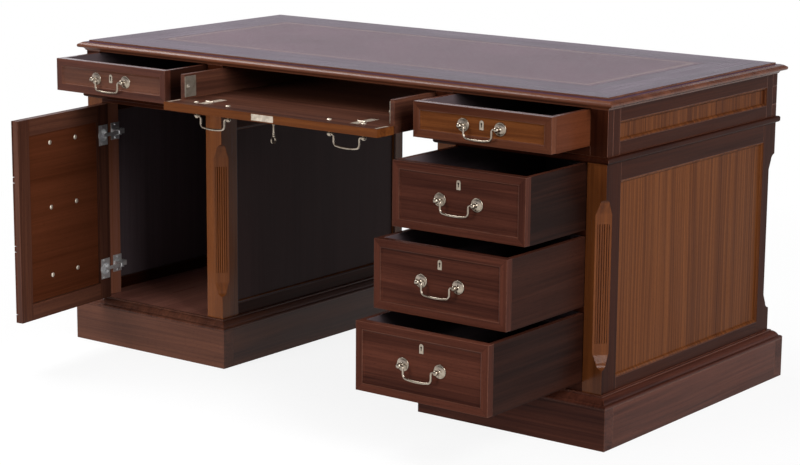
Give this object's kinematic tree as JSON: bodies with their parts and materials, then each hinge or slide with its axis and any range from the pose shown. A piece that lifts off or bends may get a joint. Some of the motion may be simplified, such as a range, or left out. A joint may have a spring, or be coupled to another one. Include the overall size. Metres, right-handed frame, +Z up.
{
  "type": "partners desk",
  "caption": "Pedestal writing desk with a leather-inlaid moulded top, frieze drawers beside a drop-front tray, a cupboard in one pedestal and drawers in the other.",
  "frame": {"origin": "on the floor, under the middle of the bounding box of the desk as displayed, with its drawers out and its door open", "axes": "+X to the desk's right as seen from the front, +Y to its back, +Z up"},
  "size_m": [1.62, 1.1744, 0.78],
  "materials": {
    "frame_wood": "dark polished mahogany",
    "panel_wood": "polished mahogany veneer",
    "front_wood": "dark polished mahogany veneer",
    "top_wood": "high polish",
    "plinth_wood": "dark polished mahogany",
    "inside_wood": "dark stained, satin",
    "leather": "brown hide with a tooled line",
    "handle_metal": "antiqued nickel",
    "hinge_metal": "bright plated"
  },
  "bodies": {
    "desk": {"top_board": "top_wood", "writing_leather": "leather", "frieze_front_frame": "frame_wood", "frieze_ends": "frame_wood", "frieze_back": "frame_wood", "frieze_panels": "panel_wood", "frieze_dividers": "inside_wood", "left_pedestal_cap": "frame_wood", "left_pedestal_posts": "frame_wood", "left_pedestal_rails": "frame_wood", "left_pedestal_panels": "panel_wood", "left_pedestal_base": "inside_wood", "left_plinth": "plinth_wood", "right_pedestal_cap": "frame_wood", "right_pedestal_posts": "frame_wood", "right_pedestal_rails": "frame_wood", "right_pedestal_panels": "panel_wood", "right_pedestal_base": "inside_wood", "right_plinth": "plinth_wood", "pedestal_drawer_rails": "inside_wood", "door_hinge_arms": "hinge_metal"},
    "left_frieze_drawer": {"left_frieze_drawer_front": "front_wood", "left_frieze_drawer_box": "inside_wood", "left_frieze_drawer_fittings": "handle_metal"},
    "left_frieze_drawer_handle": {"left_frieze_drawer_bail": "handle_metal"},
    "right_frieze_drawer": {"right_frieze_drawer_front": "front_wood", "right_frieze_drawer_box": "inside_wood", "right_frieze_drawer_fittings": "handle_metal"},
    "right_frieze_drawer_handle": {"right_frieze_drawer_bail": "handle_metal"},
    "upper_pedestal_drawer": {"upper_pedestal_drawer_front": "front_wood", "upper_pedestal_drawer_box": "inside_wood", "upper_pedestal_drawer_fittings": "handle_metal"},
    "upper_pedestal_drawer_handle": {"upper_pedestal_drawer_bail": "handle_metal"},
    "middle_pedestal_drawer": {"middle_pedestal_drawer_front": "front_wood", "middle_pedestal_drawer_box": "inside_wood", "middle_pedestal_drawer_fittings": "handle_metal"},
    "middle_pedestal_drawer_handle": {"middle_pedestal_drawer_bail": "handle_metal"},
    "lower_pedestal_drawer": {"lower_pedestal_drawer_front": "front_wood", "lower_pedestal_drawer_box": "inside_wood", "lower_pedestal_drawer_fittings": "handle_metal"},
    "lower_pedestal_drawer_handle": {"lower_pedestal_drawer_bail": "handle_metal"},
    "tray": {"tray_box": "inside_wood", "tray_hinge_leaves": "handle_metal", "tray_catches": "handle_metal"},
    "flap": {"flap_board": "front_wood", "flap_hinge_leaves": "handle_metal", "flap_fittings": "handle_metal"},
    "left_flap_handle": {"left_flap_bail": "handle_metal"},
    "right_flap_handle": {"right_flap_bail": "handle_metal"},
    "key": {"flap_key": "handle_metal"},
    "door": {"door_frame": "front_wood", "door_panel": "panel_wood", "door_false_fronts": "front_wood", "door_fittings": "handle_metal", "door_hinge_cups": "hinge_metal"},
    "door_links": {"door_hinge_links": "hinge_metal"},
    "upper_door_handle": {"upper_door_bail": "handle_metal"},
    "middle_door_handle": {"middle_door_bail": "handle_metal"},
    "lower_door_handle": {"lower_door_bail": "handle_metal"}
  },
  "joints": [
    {"name": "left_frieze_drawer_slide", "type": "slide", "parent": "desk", "child": "left_frieze_drawer", "axis": [0, -1, 0], "range_m": [-0.152, 0.248]},
    {"name": "left_frieze_drawer_bail_swing", "type": "hinge", "parent": "left_frieze_drawer", "child": "left_frieze_drawer_handle", "pos_m": [-0.554, -0.36925, 0.7125], "axis": [-1, 0, 0], "range_deg": [0, 100]},
    {"name": "right_frieze_drawer_slide", "type": "slide", "parent": "desk", "child": "right_frieze_drawer", "axis": [0, -1, 0], "range_m": [-0.152, 0.248]},
    {"name": "right_frieze_drawer_bail_swing", "type": "hinge", "parent": "right_frieze_drawer", "child": "right_frieze_drawer_handle", "pos_m": [0.554, -0.36925, 0.7125], "axis": [-1, 0, 0], "range_deg": [0, 100]},
    {"name": "upper_pedestal_drawer_slide", "type": "slide", "parent": "desk", "child": "upper_pedestal_drawer", "axis": [0, -1, 0], "range_m": [-0.236, 0.204]},
    {"name": "upper_pedestal_drawer_bail_swing", "type": "hinge", "parent": "upper_pedestal_drawer", "child": "upper_pedestal_drawer_handle", "pos_m": [0.555, -0.45325, 0.5595], "axis": [-1, 0, 0], "range_deg": [0, 100]},
    {"name": "middle_pedestal_drawer_slide", "type": "slide", "parent": "desk", "child": "middle_pedestal_drawer", "axis": [0, -1, 0], "range_m": [-0.301, 0.139]},
    {"name": "middle_pedestal_drawer_bail_swing", "type": "hinge", "parent": "middle_pedestal_drawer", "child": "middle_pedestal_drawer_handle", "pos_m": [0.555, -0.51825, 0.3915], "axis": [-1, 0, 0], "range_deg": [0, 100]},
    {"name": "lower_pedestal_drawer_slide", "type": "slide", "parent": "desk", "child": "lower_pedestal_drawer", "axis": [0, -1, 0], "range_m": [-0.364, 0.076]},
    {"name": "lower_pedestal_drawer_bail_swing", "type": "hinge", "parent": "lower_pedestal_drawer", "child": "lower_pedestal_drawer_handle", "pos_m": [0.555, -0.58125, 0.2195], "axis": [-1, 0, 0], "range_deg": [0, 100]},
    {"name": "tray_slide", "type": "slide", "parent": "desk", "child": "tray", "axis": [0, -1, 0], "range_m": [-0.172, 0.12]},
    {"name": "flap_hinge", "type": "hinge", "parent": "tray", "child": "flap", "pos_m": [0, -0.35705, 0.6913], "axis": [-1, 0, 0], "range_deg": [0, 90]},
    {"name": "left_flap_bail_swing", "type": "hinge", "parent": "flap", "child": "left_flap_handle", "pos_m": [-0.201, -0.37825, 0.6591], "axis": [-1, 0, 0], "range_deg": [-90, 12]},
    {"name": "right_flap_bail_swing", "type": "hinge", "parent": "flap", "child": "right_flap_handle", "pos_m": [0.201, -0.37825, 0.6591], "axis": [-1, 0, 0], "range_deg": [-90, 12]},
    {"name": "key_turn", "type": "hinge", "parent": "flap", "child": "key", "pos_m": [0.004, -0.39825, 0.66], "axis": [0, 0, 1], "range_deg": [0, 90]},
    {"name": "door_hinge", "type": "hinge", "parent": "desk", "child": "door", "pos_m": [-0.732, -0.20675, 0.376], "axis": [0, 0, 1], "range_deg": [0, 84]},
    {"name": "door_link_fold", "type": "hinge", "parent": "desk", "child": "door_links", "pos_m": [-0.70965, -0.16775, 0.376], "axis": [0, 0, 1], "range_deg": [0, 84]},
    {"name": "upper_door_bail_swing", "type": "hinge", "parent": "door", "child": "upper_door_handle", "pos_m": [-0.72394, -0.38388, 0.55425], "axis": [-0.1045, 0.9945, 0], "range_deg": [0, 100]},
    {"name": "middle_door_bail_swing", "type": "hinge", "parent": "door", "child": "middle_door_handle", "pos_m": [-0.72394, -0.38388, 0.3915], "axis": [-0.1045, 0.9945, 0], "range_deg": [0, 100]},
    {"name": "lower_door_bail_swing", "type": "hinge", "parent": "door", "child": "lower_door_handle", "pos_m": [-0.72394, -0.38388, 0.2195], "axis": [-0.1045, 0.9945, 0], "range_deg": [0, 100]}
  ],
  "couplings": [
    {"joint": "door_link_fold", "follows": "door_hinge", "ratio": 1}
  ]
}
